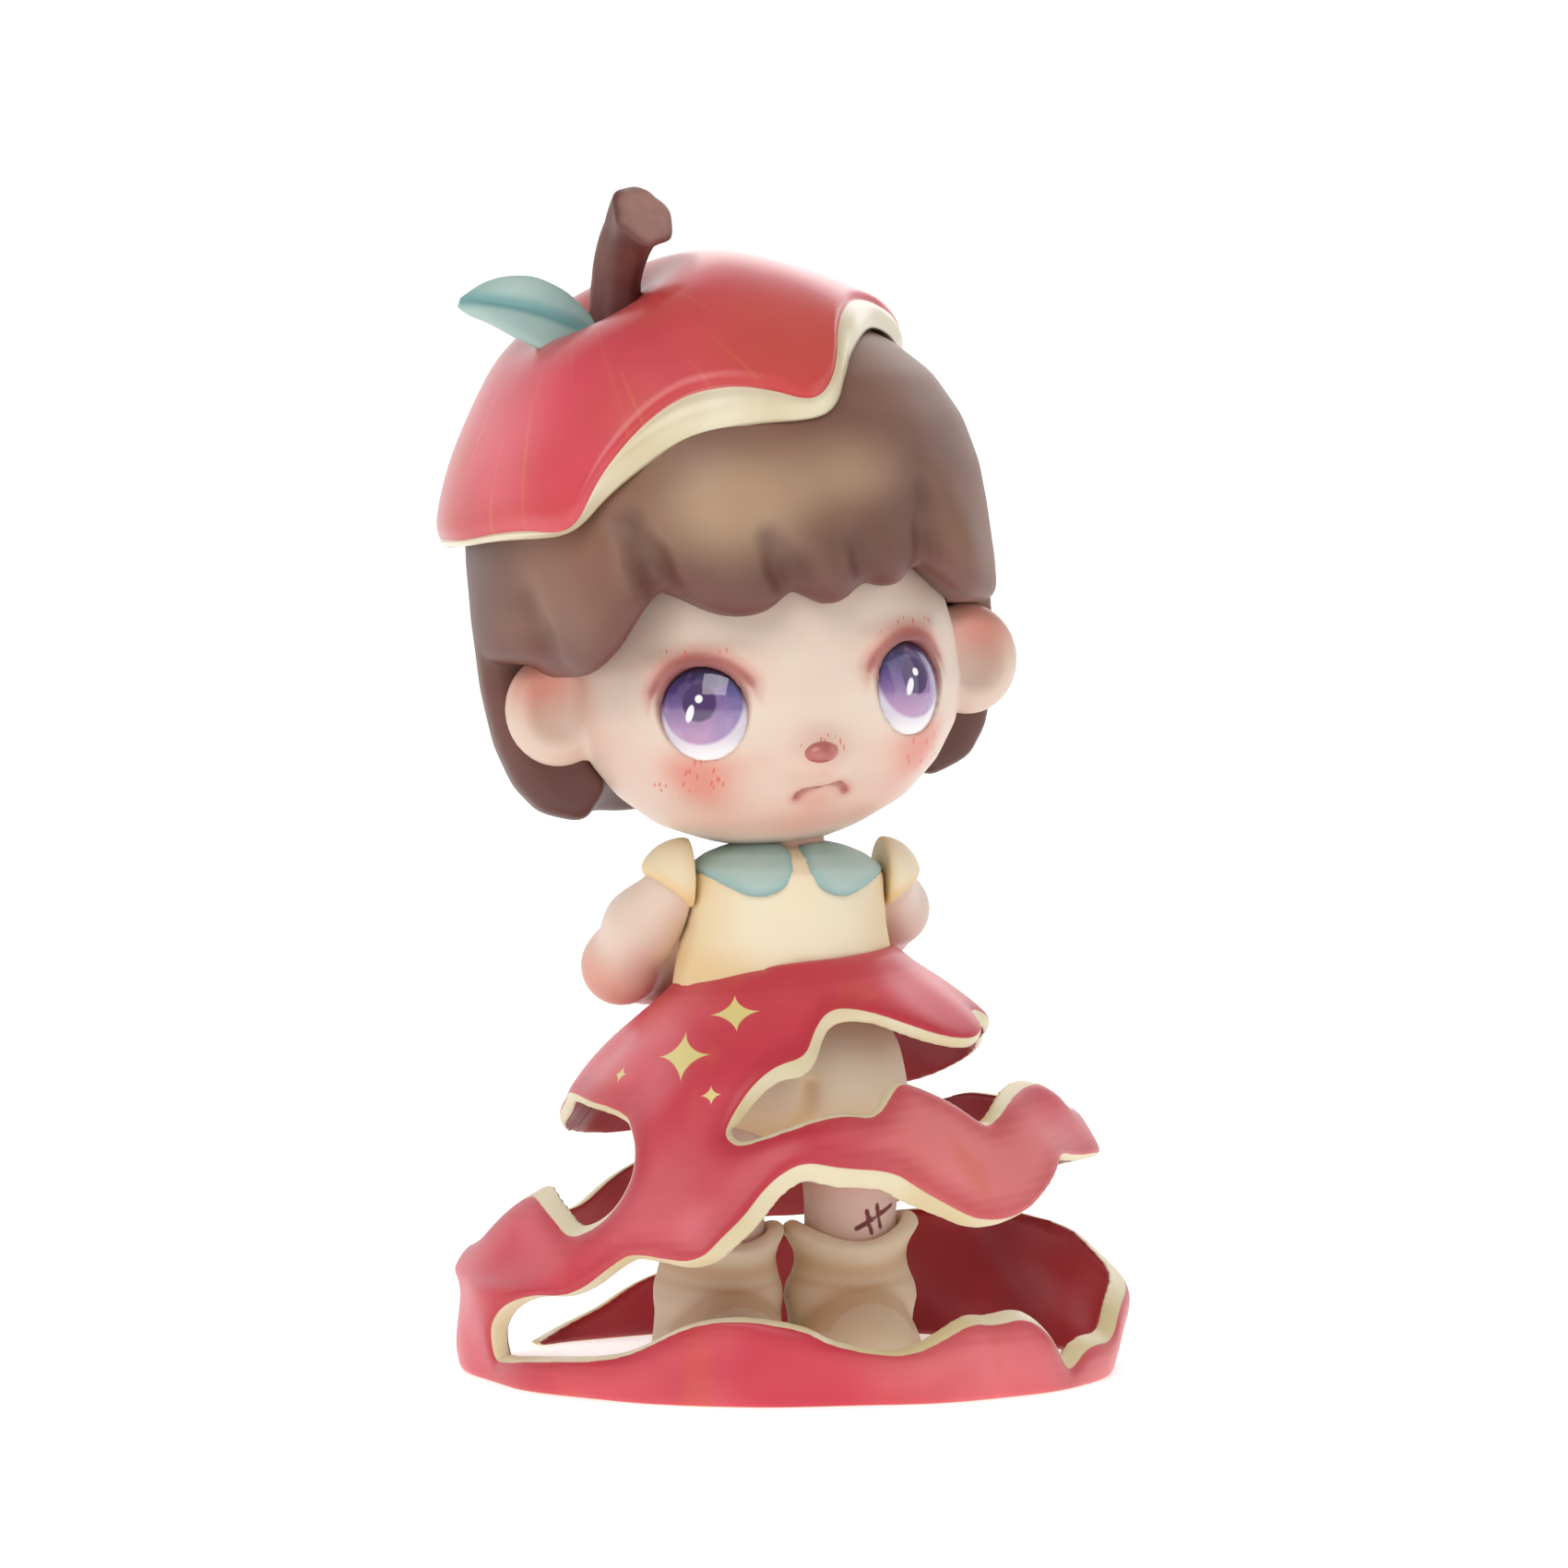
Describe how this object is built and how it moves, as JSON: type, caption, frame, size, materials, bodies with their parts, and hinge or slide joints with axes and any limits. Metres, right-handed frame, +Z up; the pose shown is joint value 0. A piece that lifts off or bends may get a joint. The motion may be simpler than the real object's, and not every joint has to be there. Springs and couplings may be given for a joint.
{
  "type": "vinyl art toy",
  "caption": "Standing big-headed doll with turning head and swinging arms, in a peel-shaped hat and a dress that winds down as a spiral of apple peel into a ring on the floor.",
  "frame": {"origin": "centre of the ring of peel, on the floor", "axes": "+Z up; the doll faces -Y and its left hand is on the +X side"},
  "size_m": [0.0738, 0.0725, 0.1282],
  "materials": {
    "skin": "satin vinyl, pale skin with brushed pink shading",
    "hair": "satin vinyl, brown, darker in the grooves",
    "peel": "satin vinyl, apple red outside, cream on the cut edges, dark red inside",
    "stem": "matt brown",
    "leaf": "matt grey-green",
    "collar": "matt grey-green",
    "cloth": "matt cream, moulded as cloth",
    "boot": "matt tan, moulded as soft leather",
    "nose": "glossy red-brown",
    "iris": "painted violet eye under a clear dome",
    "clear": "clear polished dome",
    "inner": "plain moulded plastic, hidden",
    "steel": "plain steel"
  },
  "bodies": {
    "doll": {"shirt": "cloth", "collar": "collar", "neck_post": "skin", "bloomers": "cloth", "left_leg": "skin", "right_leg": "skin", "leg_pins": "steel", "left_boot_foot": "boot", "right_boot_foot": "boot", "left_boot_shaft": "boot", "right_boot_shaft": "boot", "peel_skirt": "peel", "peel_ribbon": "peel", "peel_base": "peel"},
    "head": {"head_shell": "skin", "left_ear": "skin", "right_ear": "skin", "left_eye_globe": "iris", "right_eye_globe": "iris", "left_eye_lens": "clear", "right_eye_lens": "clear", "eye_bracket": "inner", "bracket_screws": "steel", "nose": "nose", "crown_plug": "inner", "neck_socket": "inner", "hair_front": "hair", "hair_back": "hair", "hat_peel": "peel", "hat_stem": "stem", "hat_leaf": "leaf", "hat_post": "steel"},
    "left_arm": {"left_arm": "skin", "left_sleeve": "cloth"},
    "right_arm": {"right_arm": "skin", "right_sleeve": "cloth"}
  },
  "joints": [
    {"name": "head_swivel", "type": "hinge", "parent": "doll", "child": "head", "pos_m": [-0.0007, 0, 0.0575], "axis": [-0.1219, 0, 0.9925], "continuous": true},
    {"name": "left_arm_swing", "type": "hinge", "parent": "doll", "child": "left_arm", "pos_m": [0.0099, 0, 0.0535], "axis": [1, 0, 0], "range_deg": [0, 30]},
    {"name": "right_arm_swing", "type": "hinge", "parent": "doll", "child": "right_arm", "pos_m": [-0.0113, 0, 0.0535], "axis": [1, 0, 0], "range_deg": [0, 30]}
  ]
}
